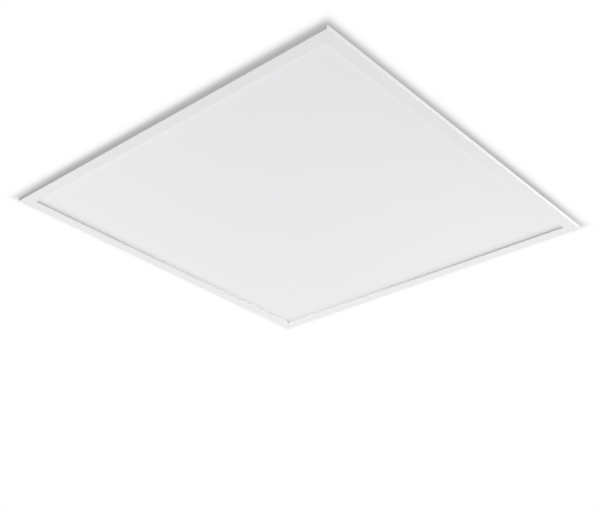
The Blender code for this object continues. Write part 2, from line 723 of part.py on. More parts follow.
def make_driver_lid():
    """The fixed lid over the electronics: a knuckle near each side, and an apron under the hinge."""
    left = HINGE_X + HINGE_GAP
    right = DRIVER_LENGTH / 2
    side = DRIVER_WIDTH / 2
    low = BASE_HEIGHT + FIT
    shell = prism([rounded(left, -side, right, side, 2 * MM, 2)], low, CASE_TOP, "driver_lid")
    inside = rectangle(left + CASE_WALL, -side + CASE_WALL, right - CASE_WALL, side - CASE_WALL)
    shell = cut(shell, [prism([inside], low - MM, CASE_TOP - CASE_WALL, "hollow")], "driver_lid")
    gap = 0.4 * MM
    outer = side - 3 * MM
    ends = ((-outer, -COVER_KNUCKLE - gap), (COVER_KNUCKLE + gap, outer))
    knuckles = [moved(knuckle(a, b, 1), HINGE_X, 0, CASE_TOP) for a, b in ends]
    apron_low = (HINGE_X - HINGE_GAP + 0.4 * MM, -side + 0.3 * MM, low)
    apron_high = (left + 0.3 * MM, side - 0.3 * MM, CASE_TOP - KNUCKLE_RADIUS - 0.4 * MM)
    whole = joined(shell, [*knuckles, box_mesh(apron_low, apron_high, "apron")], "driver_lid")
    place("driver_lid", cut(whole, [hinge_bore()], "driver_lid"), CASE_WHITE, driver_place(), smooth=True)


def make_terminal_cover():
    """The hinged cover over the terminals, its origin on the hinge's axis."""
    left = -DRIVER_LENGTH / 2
    right = HINGE_X - HINGE_GAP
    side = DRIVER_WIDTH / 2
    low = BASE_HEIGHT + FIT
    shell = prism([rounded(left, -side, right, side, 2 * MM, 2)], low, CASE_TOP, "terminal_cover")
    inside = rectangle(left + CASE_WALL, -side + CASE_WALL, right + 4 * MM, side - CASE_WALL)
    shell = cut(shell, [prism([inside], low - MM, CASE_TOP - CASE_WALL, "hollow")], "terminal_cover")
    tab = box_mesh((left - 2 * MM, -6 * MM, low), (left + 0.6 * MM, 6 * MM, low + 1.6 * MM))
    hinge = moved(knuckle(-COVER_KNUCKLE, COVER_KNUCKLE, -1), HINGE_X, 0, CASE_TOP)
    whole = joined(shell, [tab, hinge], "terminal_cover")
    mesh = moved(cut(whole, [hinge_bore()], "terminal_cover"), -HINGE_X, 0, -CASE_TOP)
    place("terminal_cover", mesh, CASE_WHITE, driver_place(HINGE_X, 0, CASE_TOP), smooth=True)


def make_hinge_pin():
    half = DRIVER_WIDTH / 2 - 2.6 * MM
    mesh = along_y(prism([circle(0, 0, HINGE_PIN, 12)], -half, half, "cover_hinge_pin"))
    place("cover_hinge_pin", mesh, ZINC, driver_place(HINGE_X, 0, CASE_TOP), smooth=True)


def make_driver_board():
    low = (-58 * MM, -18.6 * MM, PCB_Z)
    high = (68 * MM, 18.6 * MM, PCB_TOP)
    place("driver_board", box_mesh(low, high, "driver_board"), BOARD_GREEN, driver_place())


def make_transformer():
    """A ferrite core, open at both ends, round a taped winding."""
    low = PCB_TOP + FIT
    core = box_mesh((-12 * MM, -11 * MM, low + 2 * MM), (12 * MM, 11 * MM, low + 13 * MM))
    winding = prism([rounded(-8 * MM, -14 * MM, 8 * MM, 14 * MM, 4 * MM)], low, low + 11 * MM, "winding")
    mesh = joined(core, [winding], "driver_transformer")
    place("driver_transformer", mesh, WINDING, driver_place(2 * MM, 3 * MM, 0))


def make_capacitor():
    low = PCB_TOP + FIT
    top = low + 14 * MM
    radius = 5 * MM
    profile = [(0, low), (radius, low), (radius, top - 0.6 * MM), (radius - 0.6 * MM, top), (0, top)]
    place("driver_capacitor", turned(profile, 16, "driver_capacitor"), CAN_BLACK,
          driver_place(38 * MM, 8 * MM, 0), smooth=True)


def make_terminal_block():
    """Two push-in terminals: a wire entry in the end face and a button pocket above each."""
    low = PCB_TOP + FIT
    top = low + TERMINAL_HEIGHT
    body = box_mesh((-57 * MM, -8 * MM, low), (-45 * MM, 8 * MM, top))
    floor = top - BUTTON_FOOT - BUTTON_TRAVEL - 0.5 * MM
    cutters = []
    for sign in (-1, 1):
        y = sign * BUTTON_OFFSET
        entry = along_x(prism([circle(0, 0, 1.4 * MM, 12)], -5 * MM, 5 * MM, "entry"))
        cutters.append(moved(entry, -56 * MM, y, low + 4 * MM))
        low_corner = (BUTTON_X - 2.1 * MM, y - 1.8 * MM, floor)
        cutters.append(box_mesh(low_corner, (BUTTON_X + 2.1 * MM, y + 1.8 * MM, top + MM)))
    place("terminal_block", cut(body, cutters, "terminal_block"), TERMINAL_GREY, driver_place())


def make_release_buttons():
    """Each button stands in its pocket, its underside a little over one travel above the floor."""
    top = PCB_TOP + FIT + TERMINAL_HEIGHT
    low = (-1.8 * MM, -1.5 * MM, -BUTTON_FOOT)
    high = (1.8 * MM, 1.5 * MM, 2.0 * MM)
    for name, sign in (("front", -1), ("rear", 1)):
        mesh = box_mesh(low, high, "release_button")
        where = driver_place(BUTTON_X, sign * BUTTON_OFFSET, top)
        place(f"release_button_{name}", mesh, BUTTON_ORANGE, where)


def make_cct_switch():
    """The three-place slide switch on the board's edge, and the knob that reaches through the case."""
    low = PCB_TOP + FIT
    side = DRIVER_WIDTH / 2
    front = -side + CASE_WALL + 0.4 * MM
    half = SLOT_HALF + 2.2 * MM
    body = box_mesh((SLIDER_X - half, front, low), (SLIDER_X + half, front + 6 * MM, low + 7 * MM))
    pocket = box_mesh(
        (SLIDER_X - SLOT_HALF, front - MM, SLIDER_Z - 1.4 * MM),
        (SLIDER_X + SLOT_HALF, front + 3 * MM, SLIDER_Z + 1.4 * MM),
    )
    place("cct_switch_body", cut(body, [pocket], "cct_switch_body"), CAN_BLACK, driver_place())
    reach = -side - 2.2 * MM
    low = (-KNOB_HALF, reach, -1.1 * MM)
    knob = box_mesh(low, (KNOB_HALF, front + 2.6 * MM, 1.1 * MM), "cct_slider")
    place("cct_slider", knob, KNOB_BLACK, driver_place(SLIDER_X, 0, SLIDER_Z))


def make_cord_clamp():
    """A bar across two posts that would hold the mains cord, and its two screws."""
    top = CLAMP_Z + 1.8 * MM
    outline = rounded(CLAMP_X - 3 * MM, -12.4 * MM, CLAMP_X + 3 * MM, 12.4 * MM, 2.5 * MM)
    holes = [circle(CLAMP_X, sign * CLAMP_SCREW_Y, SCREW_HOLE, 12) for sign in (-1, 1)]
    bar = prism([outline, *holes], CLAMP_Z, top, "cord_clamp")
    place("cord_clamp", bar, CASE_WHITE, driver_place())
    screw = screw_mesh(6 * MM)
    for name, sign in (("front", -1), ("rear", 1)):
        where = driver_place(CLAMP_X, sign * CLAMP_SCREW_Y, top + 0.1 * MM)
        place(f"cord_clamp_screw_{name}", screw, ZINC, where, turn=sign, smooth=True)


# Supply lead


def make_grommet():
    """A rubber bush in the back plate's hole, its waist inside the sheet."""
    bore = LEAD_RADIUS + 0.15 * MM
    waist = 2.2 * MM - 0.15 * MM
    low = SHEET_Z - 0.8 * MM
    high = SHEET_TOP + 1.4 * MM
    gap = 0.1 * MM
    profile = [(bore, low), (2.6 * MM, low), (2.6 * MM, SHEET_Z - gap), (waist, SHEET_Z - gap)]
    profile += [(waist, SHEET_TOP + gap), (3.4 * MM, SHEET_TOP + gap), (3.4 * MM, high - 0.5 * MM)]
    profile += [(2.8 * MM, high), (bore, high)]
    shape = bmesh.new()
    verts = [shape.verts.new((r, 0, z)) for r, z in profile]
    for i, vertex in enumerate(verts):
        shape.edges.new((vertex, verts[(i + 1) % len(verts)]))
    bmesh.ops.spin(
        shape, geom=shape.verts[:] + shape.edges[:], axis=(0, 0, 1), cent=(0, 0, 0),
        steps=14, angle=math.tau, use_merge=True,
    )
    corner = HALF - GROMMET_DEPTH
    place("lead_grommet", mesh_of(shape, "lead_grommet"), BLACK_RUBBER, (corner, corner, 0), smooth=True)


def lead_stations():
    """The lead's route, chosen by hand: out of the driver, down to the plate and into the corner."""
    start = Vector(driver_place(DRIVER_LENGTH / 2 - 3 * MM, 0, OUTLET_Z))
    y = start.y
    lie = SHEET_TOP + LEAD_RADIUS + 0.4 * MM
    corner = HALF - GROMMET_DEPTH
    return [
        start, (start.x + 9 * MM, y, start.z), (start.x + 22 * MM, y, lie + 1.5 * MM),
        (start.x + 34 * MM, y, lie), (start.x + 44 * MM, y, lie), (start.x + 54 * MM, y, lie),
        (start.x + 63 * MM, y, lie), (start.x + 78 * MM, y + 6 * MM, lie + MM),
        (corner - 12 * MM, corner - 27 * MM, lie + 4 * MM),
        (corner - 2 * MM, corner - 10 * MM, lie + 9 * MM),
        (corner, corner - MM, lie + 7 * MM), (corner, corner, SHEET_TOP + 2 * MM),
        (corner, corner, SHEET_Z - 2 * MM), (corner, corner, 4.6 * MM),
    ]


def make_lead():
    mesh = tube_mesh(smooth_route(lead_stations(), 3), LEAD_RADIUS, 8, "supply_lead")
    place("supply_lead", mesh, LEAD_WHITE, smooth=True)


def make_lead_clip():
    """A saddle stuck to the plate, arched over the lead where it runs straight."""
    lie = SHEET_TOP + LEAD_RADIUS + 0.4 * MM
    inner = LEAD_RADIUS + 0.3 * MM
    outer = inner + 1.2 * MM
    foot = 7.5 * MM
    low = SHEET_TOP + FIT
    section = [(foot, low), (foot, low + 1.2 * MM), (outer, low + 1.2 * MM)]
    section += arc(0, lie, outer, 0, 180, 8)
    section += [(-outer, low + 1.2 * MM), (-foot, low + 1.2 * MM), (-foot, low), (-inner, low)]
    section += arc(0, lie, inner, 180, 0, 8) + [(inner, low)]
    mesh = prism([section], -4 * MM, 4 * MM, "lead_clip")
    mesh.transform(Matrix(((0, 0, 1, 0), (1, 0, 0, 0), (0, 1, 0, 0), (0, 0, 0, 1))))
    before, after = lead_stations()[4:6]
    place("lead_clip", mesh, CASE_WHITE, ((before[0] + after[0]) / 2, before[1], 0))


def build():
    clear_scene()
    make_rails()
    make_corner_keys()
    make_stack()
    make_back_plate()
    make_led_bars()
    make_link_wire()
    make_frame_screws()
    make_clips()
    make_driver_tape()
    make_driver_base()
    make_driver_lid()
    make_terminal_cover()
    make_hinge_pin()
    make_driver_board()
    make_transformer()
    make_capacitor()
    make_terminal_block()
    make_release_buttons()
    make_cct_switch()
    make_cord_clamp()
    make_grommet()
    make_lead()
    make_lead_clip()


build()
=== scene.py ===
"""The looks of an LED ceiling panel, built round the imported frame.

Materials, fine pieces, stage, lights and camera. Everything is in metres.
"""

import json
import math

import bmesh
import bpy
from mathutils import Matrix, Vector

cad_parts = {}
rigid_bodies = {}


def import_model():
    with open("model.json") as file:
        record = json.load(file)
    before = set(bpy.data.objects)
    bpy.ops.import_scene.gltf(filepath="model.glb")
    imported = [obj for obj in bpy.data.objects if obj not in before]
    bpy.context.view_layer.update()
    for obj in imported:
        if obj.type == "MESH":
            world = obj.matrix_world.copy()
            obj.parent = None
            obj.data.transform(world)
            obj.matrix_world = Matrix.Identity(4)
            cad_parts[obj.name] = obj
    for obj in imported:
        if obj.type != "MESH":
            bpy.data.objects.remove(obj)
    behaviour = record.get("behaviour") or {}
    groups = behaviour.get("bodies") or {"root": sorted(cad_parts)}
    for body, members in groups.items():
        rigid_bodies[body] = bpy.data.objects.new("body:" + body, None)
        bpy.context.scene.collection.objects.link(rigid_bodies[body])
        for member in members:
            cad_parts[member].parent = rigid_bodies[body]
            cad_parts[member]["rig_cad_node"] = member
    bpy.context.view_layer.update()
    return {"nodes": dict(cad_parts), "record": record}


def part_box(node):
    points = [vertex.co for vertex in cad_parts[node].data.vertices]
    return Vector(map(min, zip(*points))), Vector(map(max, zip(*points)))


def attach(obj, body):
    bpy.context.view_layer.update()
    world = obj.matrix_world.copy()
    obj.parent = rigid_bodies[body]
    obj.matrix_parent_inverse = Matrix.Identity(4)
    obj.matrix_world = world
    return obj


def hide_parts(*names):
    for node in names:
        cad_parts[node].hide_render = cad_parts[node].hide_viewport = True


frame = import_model()
NODES = frame["nodes"]
RECORD = frame["record"]
MM = 0.001
FIT = 0.2 * MM  # the gap that the CAD leaves between pieces that touch
ENDS = ("front", "rear")
CORNERS = ("front_left", "front_right", "rear_left", "rear_right")

# Worked out from the frame
HALF = -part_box("frame_rail_front")[0].y  # half the face's side
SHEET_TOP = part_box("driver_tape")[0].z - FIT  # the back plate's sheet, between its beads


# Node helpers


class Graph:
    """A material's node tree, written as calls that return sockets.

    A scale counts features to the metre. A bump's distance is in metres.
    """

    def __init__(self, name):
        self.material = bpy.data.materials.new(name)
        self.material.use_nodes = True
        self.tree = self.material.node_tree
        self.shader = self.tree.nodes["Principled BSDF"]
        self.object_space = self.add("ShaderNodeTexCoord").outputs["Object"]

    def add(self, kind, **settings):
        node = self.tree.nodes.new(kind)
        for key, value in settings.items():
            setattr(node, key, value)
        return node

    def link(self, value, socket):
        """Joins a socket to a socket, or sets its number or colour."""
        if isinstance(value, bpy.types.NodeSocket):
            self.tree.links.new(value, socket)
        else:
            socket.default_value = value

    def place(self, scale, turn=(0, 0, 0)):
        """Object coordinates stretched and turned."""
        node = self.add("ShaderNodeMapping")
        self.link(self.object_space, node.inputs["Vector"])
        node.inputs["Scale"].default_value = scale
        node.inputs["Rotation"].default_value = turn
        return node.outputs["Vector"]

    def noise(self, scale, detail=3.0, roughness=0.55, where=None, distortion=0.0):
        node = self.add("ShaderNodeTexNoise")
        self.link(where or self.object_space, node.inputs["Vector"])
        node.inputs["Scale"].default_value = scale
        node.inputs["Detail"].default_value = detail
        node.inputs["Roughness"].default_value = roughness
        node.inputs["Distortion"].default_value = distortion
        return node.outputs["Fac"]

    def cells(self, scale, feature="F1", where=None, randomness=1.0):
        node = self.add("ShaderNodeTexVoronoi", feature=feature)
        self.link(where or self.object_space, node.inputs["Vector"])
        node.inputs["Scale"].default_value = scale
        node.inputs["Randomness"].default_value = randomness
        return node.outputs["Distance"]

    def spread(self, value, low, high, to_low=0.0, to_high=1.0):
        """The value's range from low to high mapped to another, and held at its ends."""
        node = self.add("ShaderNodeMapRange")
        self.link(value, node.inputs["Value"])
        node.inputs["From Min"].default_value = low
        node.inputs["From Max"].default_value = high
        node.inputs["To Min"].default_value = to_low
        node.inputs["To Max"].default_value = to_high
        return node.outputs["Result"]

    def math(self, operation, a, b=0.0):
        node = self.add("ShaderNodeMath", operation=operation)
        self.link(a, node.inputs[0])
        self.link(b, node.inputs[1])
        return node.outputs["Value"]

    def times(self, a, b):
        return self.math("MULTIPLY", a, b)

    def plus(self, a, b):
        return self.math("ADD", a, b)

    def mix(self, factor, a, b):
        """Two colours mixed. The node's colour sockets come after those for numbers and vectors."""
        node = self.add("ShaderNodeMix", data_type="RGBA")
        self.link(factor, node.inputs[0])
        self.link(rgba(a), node.inputs[6])
        self.link(rgba(b), node.inputs[7])
        return node.outputs[2]

    def axes(self):
        node = self.add("ShaderNodeSeparateXYZ")
        self.link(self.object_space, node.inputs[0])
        return node.outputs

    def bump(self, height, distance, strength=1.0, normal=None):
        node = self.add("ShaderNodeBump")
        self.link(height, node.inputs["Height"])
        node.inputs["Distance"].default_value = distance
        node.inputs["Strength"].default_value = strength
        if normal is not None:
            self.link(normal, node.inputs["Normal"])
        return node.outputs["Normal"]

    def finish(self, colour, roughness, normal=None, **constants):
        """Sets the shader. constants are Principled inputs that are the same all over."""
        self.link(rgba(colour), self.shader.inputs["Base Color"])
        self.link(roughness, self.shader.inputs["Roughness"])
        if normal is not None:
            self.link(normal, self.shader.inputs["Normal"])
        for key, value in constants.items():
            self.shader.inputs[key.replace("_", " ")].default_value = value
        return self.material


def rgba(colour):
    """A colour with its alpha added. A socket passes through."""
    return (*colour, 1.0) if isinstance(colour, tuple) and len(colour) == 3 else colour


# Materials


def powder_coat():
    """White polyester powder on the rails: fine orange peel, faint clouding and a few dull rubs."""
    g = Graph("white_powder_coat")
    clouds = g.noise(9, 3)
    peel = g.noise(1400, 2, 0.5)
    grain = g.cells(2600)
    rubs = g.spread(g.noise(34, 5, 0.7), 0.62, 0.8)
    colour = g.mix(clouds, (0.824, 0.821, 0.818), (0.848, 0.846, 0.843))
    colour = g.mix(g.times(rubs, 0.25), colour, (0.79, 0.79, 0.785))
    rough = g.spread(g.plus(g.times(peel, 0.4), rubs), 0, 1.2, 0.5, 0.66)
    normal = g.bump(peel, 0.05 * MM, 0.5)
    normal = g.bump(grain, 0.02 * MM, 0.35, normal)
    return g.finish(colour, rough, normal, Specular_IOR_Level=0.28)


def opal_diffuser():
    """Opal acrylic with a microprismatic satin face, very slightly cool."""
    g = Graph("opal_acrylic")
    clouds = g.noise(5, 2)
    prisms = g.cells(1700, randomness=0.3)
    satin = g.noise(3200, 2)
    colour = g.mix(clouds, (0.858, 0.859, 0.878), (0.869, 0.870, 0.889))
    rough = g.spread(satin, 0.3, 0.7, 0.5, 0.6)
    normal = g.bump(prisms, 0.03 * MM, 0.25)
    normal = g.bump(satin, 0.01 * MM, 0.3, normal)
    return g.finish(colour, rough, normal, Specular_IOR_Level=0.22)


def rolled_aluminium():
    """The back plate's rolled sheet, its grain along X, with smears and fine scratches."""
    g = Graph("rolled_aluminium")
    grain = g.noise(60, 4, 0.6, g.place((0.6, 60, 60)))
    fine = g.noise(240, 3, 0.6, g.place((0.5, 40, 40)))
    clouds = g.noise(7, 4, 0.6)
    smears = g.spread(g.noise(16, 5, 0.75, distortion=1.2), 0.58, 0.75)
    scratches = g.cells(26, "DISTANCE_TO_EDGE", g.place((1, 0.35, 1), (0, 0, 0.6)))
    scratches = g.spread(scratches, 0.0, 0.012, 1, 0)
    scratches = g.times(scratches, g.spread(g.noise(30, 3), 0.56, 0.66))
    colour = g.mix(clouds, (0.60, 0.61, 0.62), (0.72, 0.73, 0.74))
    colour = g.mix(g.times(grain, 0.35), colour, (0.50, 0.51, 0.52))
    colour = g.mix(g.times(smears, 0.35), colour, (0.56, 0.56, 0.55))
    colour = g.mix(g.times(scratches, 0.5), colour, (0.85, 0.85, 0.85))
    rough = g.spread(g.plus(grain, smears), 0.2, 1.4, 0.36, 0.56)
    folds = g.add("ShaderNodeBevel", samples=6)
    folds.inputs["Radius"].default_value = 1.1 * MM
    normal = g.bump(fine, 0.04 * MM, 0.45, folds.outputs["Normal"])
    normal = g.bump(grain, 0.06 * MM, 0.3, normal)
    return g.finish(colour, rough, normal, Metallic=1.0)


def zinc_plate():
    """Bright zinc over pressed steel, from bluish to yellowish, with dull crystals."""
    g = Graph("zinc_plated_steel")
    crystals = g.cells(900)
    clouds = g.noise(120, 4, 0.6)
    colour = g.mix(clouds, (0.62, 0.65, 0.70), (0.76, 0.76, 0.74))
    stains = g.spread(g.noise(60, 3), 0.55, 0.7, 0, 0.4)
    colour = g.mix(stains, colour, (0.70, 0.66, 0.55))
    rough = g.spread(g.plus(clouds, crystals), 0.3, 1.2, 0.22, 0.44)
    normal = g.bump(crystals, 0.02 * MM, 0.4)
    normal = g.bump(clouds, 0.06 * MM, 0.3, normal)
    return g.finish(colour, rough, normal, Metallic=1.0)


def spring_wire():
    """Drawn spring steel, dark, with a fine surface and an oily bloom."""
    g = Graph("spring_wire")
    bloom = g.noise(160, 4, 0.6)
    drawn = g.noise(900, 3)
    colour = g.mix(bloom, (0.30, 0.30, 0.32), (0.48, 0.47, 0.45))
    rough = g.spread(bloom, 0.3, 0.7, 0.24, 0.42)
    return g.finish(colour, rough, g.bump(drawn, 0.03 * MM, 0.35), Metallic=1.0)


def moulded(name, low, high, rough_low, rough_high, grain_scale=1100, grain=0.09 * MM):
    """A moulded plastic between two colours, with spark-eroded grain and uneven gloss."""
    g = Graph(name)
    clouds = g.noise(22, 4, 0.6)
    texture = g.noise(grain_scale, 4, 0.6)
    colour = g.mix(clouds, low, high)
    handled = g.plus(g.noise(40, 4), g.times(texture, 0.3))
    rough = g.spread(handled, 0.3, 1.0, rough_low, rough_high)
    return g.finish(colour, rough, g.bump(texture, grain, 0.6))


def rubber():
    g = Graph("black_rubber_bush")
    dust = g.spread(g.noise(300, 5, 0.7), 0.5, 0.75)
    colour = g.mix(dust, (0.018, 0.018, 0.018), (0.07, 0.068, 0.065))
    rough = g.spread(dust, 0, 1, 0.62, 0.82)
    return g.finish(colour, rough, g.bump(g.noise(1800, 3), 0.05 * MM, 0.5))


def closed_cell_foam():
    g = Graph("closed_cell_foam")
    cells = g.cells(1300)
    colour = g.mix(g.spread(cells, 0.1, 0.6), (0.72, 0.72, 0.70), (0.84, 0.84, 0.82))
    rough = g.spread(cells, 0, 0.6, 0.75, 0.95)
    return g.finish(colour, rough, g.bump(cells, 0.2 * MM, 0.6))


def clear_acrylic():
    """The light guide's acrylic with its screen of small printed dots."""
    g = Graph("printed_light_guide")
    dots = g.spread(g.cells(500, randomness=0.0), 0.2, 0.28, 1, 0)
    colour = g.mix(dots, (0.86, 0.92, 0.92), (0.95, 0.95, 0.95))
    rough = g.spread(dots, 0, 1, 0.06, 0.5)
    return g.finish(colour, rough, g.bump(dots, 0.02 * MM, 0.4), IOR=1.49)


def reflector_film():
    g = Graph("reflector_film")
    waves = g.noise(14, 3)
    colour = g.mix(waves, (0.90, 0.90, 0.905), (0.94, 0.94, 0.94))
    rough = g.spread(waves, 0.3, 0.7, 0.22, 0.38)
    return g.finish(colour, rough, g.bump(waves, 0.3 * MM, 0.3))


def led_board():
    """White solder resist, and yellow phosphor where the packages stand proud of the board."""
    g = Graph("led_bar_board")
    x = g.math("ABSOLUTE", g.axes()["X"])
    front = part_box("led_bar_right")[0].x
    package = g.spread(x, front + 0.2 * MM, front + 0.3 * MM, 1, 0)
    speckle = g.noise(900, 3)
    resist = g.mix(speckle, (0.80, 0.80, 0.78), (0.86, 0.86, 0.84))
    phosphor = g.mix(speckle, (0.85, 0.68, 0.16), (0.92, 0.78, 0.28))
    rough = g.spread(package, 0, 1, 0.38, 0.22)
    colour = g.mix(package, resist, phosphor)
    return g.finish(colour, rough, g.bump(speckle, 0.02 * MM, 0.4))


def circuit_board():
    """Green resist with straight copper tracks showing through it and a few tinned pads."""
    g = Graph("circuit_board")
    grid = g.add("ShaderNodeTexBrick", offset=0.37, squash=0.6, squash_frequency=3)
    g.link(g.object_space, grid.inputs["Vector"])
    grid.inputs["Scale"].default_value = 1
    grid.inputs["Brick Width"].default_value = 8 * MM
    grid.inputs["Row Height"].default_value = 1.7 * MM
    grid.inputs["Mortar Size"].default_value = 0.16 * MM
    tracks = g.times(grid.outputs["Fac"], g.spread(g.noise(170, 2), 0.44, 0.46))
    pads = g.spread(g.cells(290, randomness=0.2), 0.17, 0.2, 1, 0)
    pads = g.times(pads, g.spread(g.noise(110, 2), 0.54, 0.55))
    weave = g.noise(1200, 2)
    colour = g.mix(tracks, (0.012, 0.10, 0.04), (0.04, 0.20, 0.09))
    colour = g.mix(g.times(weave, 0.2), colour, (0.02, 0.07, 0.03))
    colour = g.mix(pads, colour, (0.62, 0.62, 0.60))
    rough = g.spread(weave, 0.3, 0.7, 0.22, 0.36)
    return g.finish(colour, rough, g.bump(g.plus(tracks, pads), 0.03 * MM, 0.5))


def wound_tape():
    """Yellow polyester tape round the windings, its overlaps showing as steps."""
    g = Graph("winding_tape")
    steps = g.add("ShaderNodeTexWave", wave_type="BANDS", bands_direction="Z", wave_profile="SAW")
    g.link(g.object_space, steps.inputs["Vector"])
    steps.inputs["Scale"].default_value = 160
    turn = steps.outputs["Fac"]
    colour = g.mix(turn, (0.72, 0.56, 0.10), (0.82, 0.68, 0.20))
    return g.finish(colour, g.spread(turn, 0, 1, 0.2, 0.34), g.bump(turn, 0.1 * MM, 0.5))


# Material slot: name, two colours, lowest and highest roughness, then the grain's scale and depth
MOULDED = {
    "key_plastic": ("key_nylon", (0.06, 0.06, 0.065), (0.11, 0.11, 0.115), 0.45, 0.65),
    "lead_pvc": (
        "lead_sheath", (0.70, 0.70, 0.68), (0.78, 0.775, 0.755), 0.38, 0.55, 900, 0.03 * MM,
    ),
    "case_plastic": ("case_polycarbonate", (0.72, 0.72, 0.71), (0.79, 0.79, 0.775), 0.42, 0.6),
    "can_sleeve": ("can_sleeve", (0.02, 0.02, 0.03), (0.04, 0.04, 0.06), 0.2, 0.35, 700),
    "terminal_plastic": ("terminal_nylon", (0.36, 0.37, 0.38), (0.44, 0.45, 0.46), 0.42, 0.6),
    "button_orange": ("button_orange", (0.72, 0.20, 0.02), (0.82, 0.28, 0.04), 0.38, 0.52),
    "switch_black": ("black_nylon", (0.016, 0.016, 0.017), (0.035, 0.035, 0.036), 0.36, 0.55),
}


def make_materials():
    """One material for each of the record's slots."""
    return {
        "frame_white": powder_coat(),
        "diffuser_opal": opal_diffuser(),
        "guide_acrylic": clear_acrylic(),
        "reflector_film": reflector_film(),
        "foam": closed_cell_foam(),
        "plate_aluminium": rolled_aluminium(),
        "led_board": led_board(),
        "zinc_steel": zinc_plate(),
        "spring_steel": spring_wire(),
        "circuit_board": circuit_board(),
        "winding_tape": wound_tape(),
        "rubber_black": rubber(),
        **{slot: moulded(*look) for slot, look in MOULDED.items()},
    }


MATERIALS = make_materials()


def dress(thing, material):
    """Gives a thing one material all over."""
    thing.data.materials.clear()
    thing.data.materials.append(material)


def dress_cad_nodes():
    """Every node that stays as the frame made it gets its slot's material."""
    for part in RECORD["subparts"]:
        dress(NODES[part["node"]], MATERIALS[part["material_slot"]])


# Mesh helpers


MERGE = 1e-7  # vertices nearer than this are one
FLAT_DEGREES = 0.5  # faces that differ by less than this are one flat face
CAP_PUSH = 0.25  # a wire's end ring stands out by this share of its radius
CAP_SIZE = 0.7  # and is this share of it
SHARP = 35  # the angle in degrees from which an edge stays sharp
MOULDED_SHARP = 30  # the same for the driver's moulded pieces
ROUND = 60  # and for bent wires and cords


def add_object(name, data):
    """A new object in the scene for a mesh, a light or a camera."""
    thing = bpy.data.objects.new(name, data)
    bpy.context.scene.collection.objects.link(thing)
    return thing


def shade_smooth(thing, degrees):
    thing.data.shade_smooth()
    thing.data.set_sharp_from_angle(angle=math.radians(degrees))


def mesh_of(shape, name):
    """A bmesh made into a mesh, with doubled points merged and its faces turned outwards."""
    bmesh.ops.remove_doubles(shape, verts=shape.verts, dist=MERGE)
    bmesh.ops.recalc_face_normals(shape, faces=shape.faces)
    mesh = bpy.data.meshes.new(name)
    shape.to_mesh(mesh)
    shape.free()
    return mesh


def arc(cx, cy, radius, start, end, steps):
    """Points round a centre, from one angle to another in degrees."""
    angles = [math.radians(start + (end - start) * i / steps) for i in range(steps + 1)]
    return [(cx + radius * math.cos(a), cy + radius * math.sin(a)) for a in angles]


def rounded(x0, y0, x1, y1, radius, steps=5):
    """A rectangle's outline with rounded corners."""
    corners = (
        (x1 - radius, y1 - radius, 0),
        (x0 + radius, y1 - radius, 90),
        (x0 + radius, y0 + radius, 180),
        (x1 - radius, y0 + radius, 270),
    )
    return [p for x, y, a in corners for p in arc(x, y, radius, a, a + 90, steps)]


def prism(outline, low, high, name, top_scale=1.0):
    """A closed solid between two levels, its top outline scaled about the origin."""
    shape = bmesh.new()
    below = [shape.verts.new((x, y, low)) for x, y in outline]
    above = [shape.verts.new((x * top_scale, y * top_scale, high)) for x, y in outline]
    shape.faces.new(below)
    shape.faces.new(above)
    for i in range(len(outline)):
        j = (i + 1) % len(outline)
        shape.faces.new([below[i], below[j], above[j], above[i]])
    return mesh_of(shape, name)


def turned(profile, steps, name, closed=False):
    """A solid turned about Z from (radius, height) points, a ring where the profile is closed."""
    shape = bmesh.new()
    verts = [shape.verts.new((r, 0, z)) for r, z in profile]
    pairs = list(zip(verts, verts[1:]))
    if closed:
        pairs.append((verts[-1], verts[0]))
    for pair in pairs:
        shape.edges.new(pair)
    bmesh.ops.spin(
        shape, geom=shape.verts[:] + shape.edges[:], axis=(0, 0, 1), cent=(0, 0, 0),
        steps=steps, angle=math.tau, use_merge=True,
    )
    return mesh_of(shape, name)


def tube(points, radius, sides, name):
    """A closed round wire through the points, its ends slightly domed."""
    points = [Vector(p) for p in points]
    shape = bmesh.new()
    rings = []
    tangent = (points[1] - points[0]).normalized()
    side = tangent.orthogonal().normalized()
    last = len(points) - 1
    for i, point in enumerate(points):
        ahead = (points[min(i + 1, last)] - points[max(i - 1, 0)]).normalized()
        side = (side - ahead * side.dot(ahead)).normalized()
        other = ahead.cross(side)
        steps = [(0, 1)]
        if i == 0:
            steps.insert(0, (-CAP_PUSH, CAP_SIZE))
        elif i == last:
            steps.append((CAP_PUSH, CAP_SIZE))
        for push, scale in steps:
            centre = point + ahead * radius * push
            ring = []
            for k in range(sides):
                angle = math.tau * k / sides
                spoke = side * math.cos(angle) + other * math.sin(angle)
                ring.append(shape.verts.new(centre + spoke * radius * scale))
            rings.append(ring)
    for a, b in zip(rings, rings[1:]):
        for k in range(sides):
            shape.faces.new([a[k], a[(k + 1) % sides], b[(k + 1) % sides], b[k]])
    shape.faces.new(rings[0])
    shape.faces.new(rings[-1])
    return mesh_of(shape, name)


def smooth_path(points, steps):
    """A Catmull-Rom curve through the points."""
    points = [Vector(p) for p in points]
    padded = [points[0] * 2 - points[1], *points, points[-1] * 2 - points[-2]]
    path = []
    for a, b, c, d in zip(padded, padded[1:], padded[2:], padded[3:]):
        for i in range(steps):
            t = i / steps
            square = (2 * a - 5 * b + 4 * c - d) * t**2
            cube = (3 * b - 3 * c + d - a) * t**3
            path.append(0.5 * (2 * b + (c - a) * t + square + cube))
    return [*path, points[-1]]


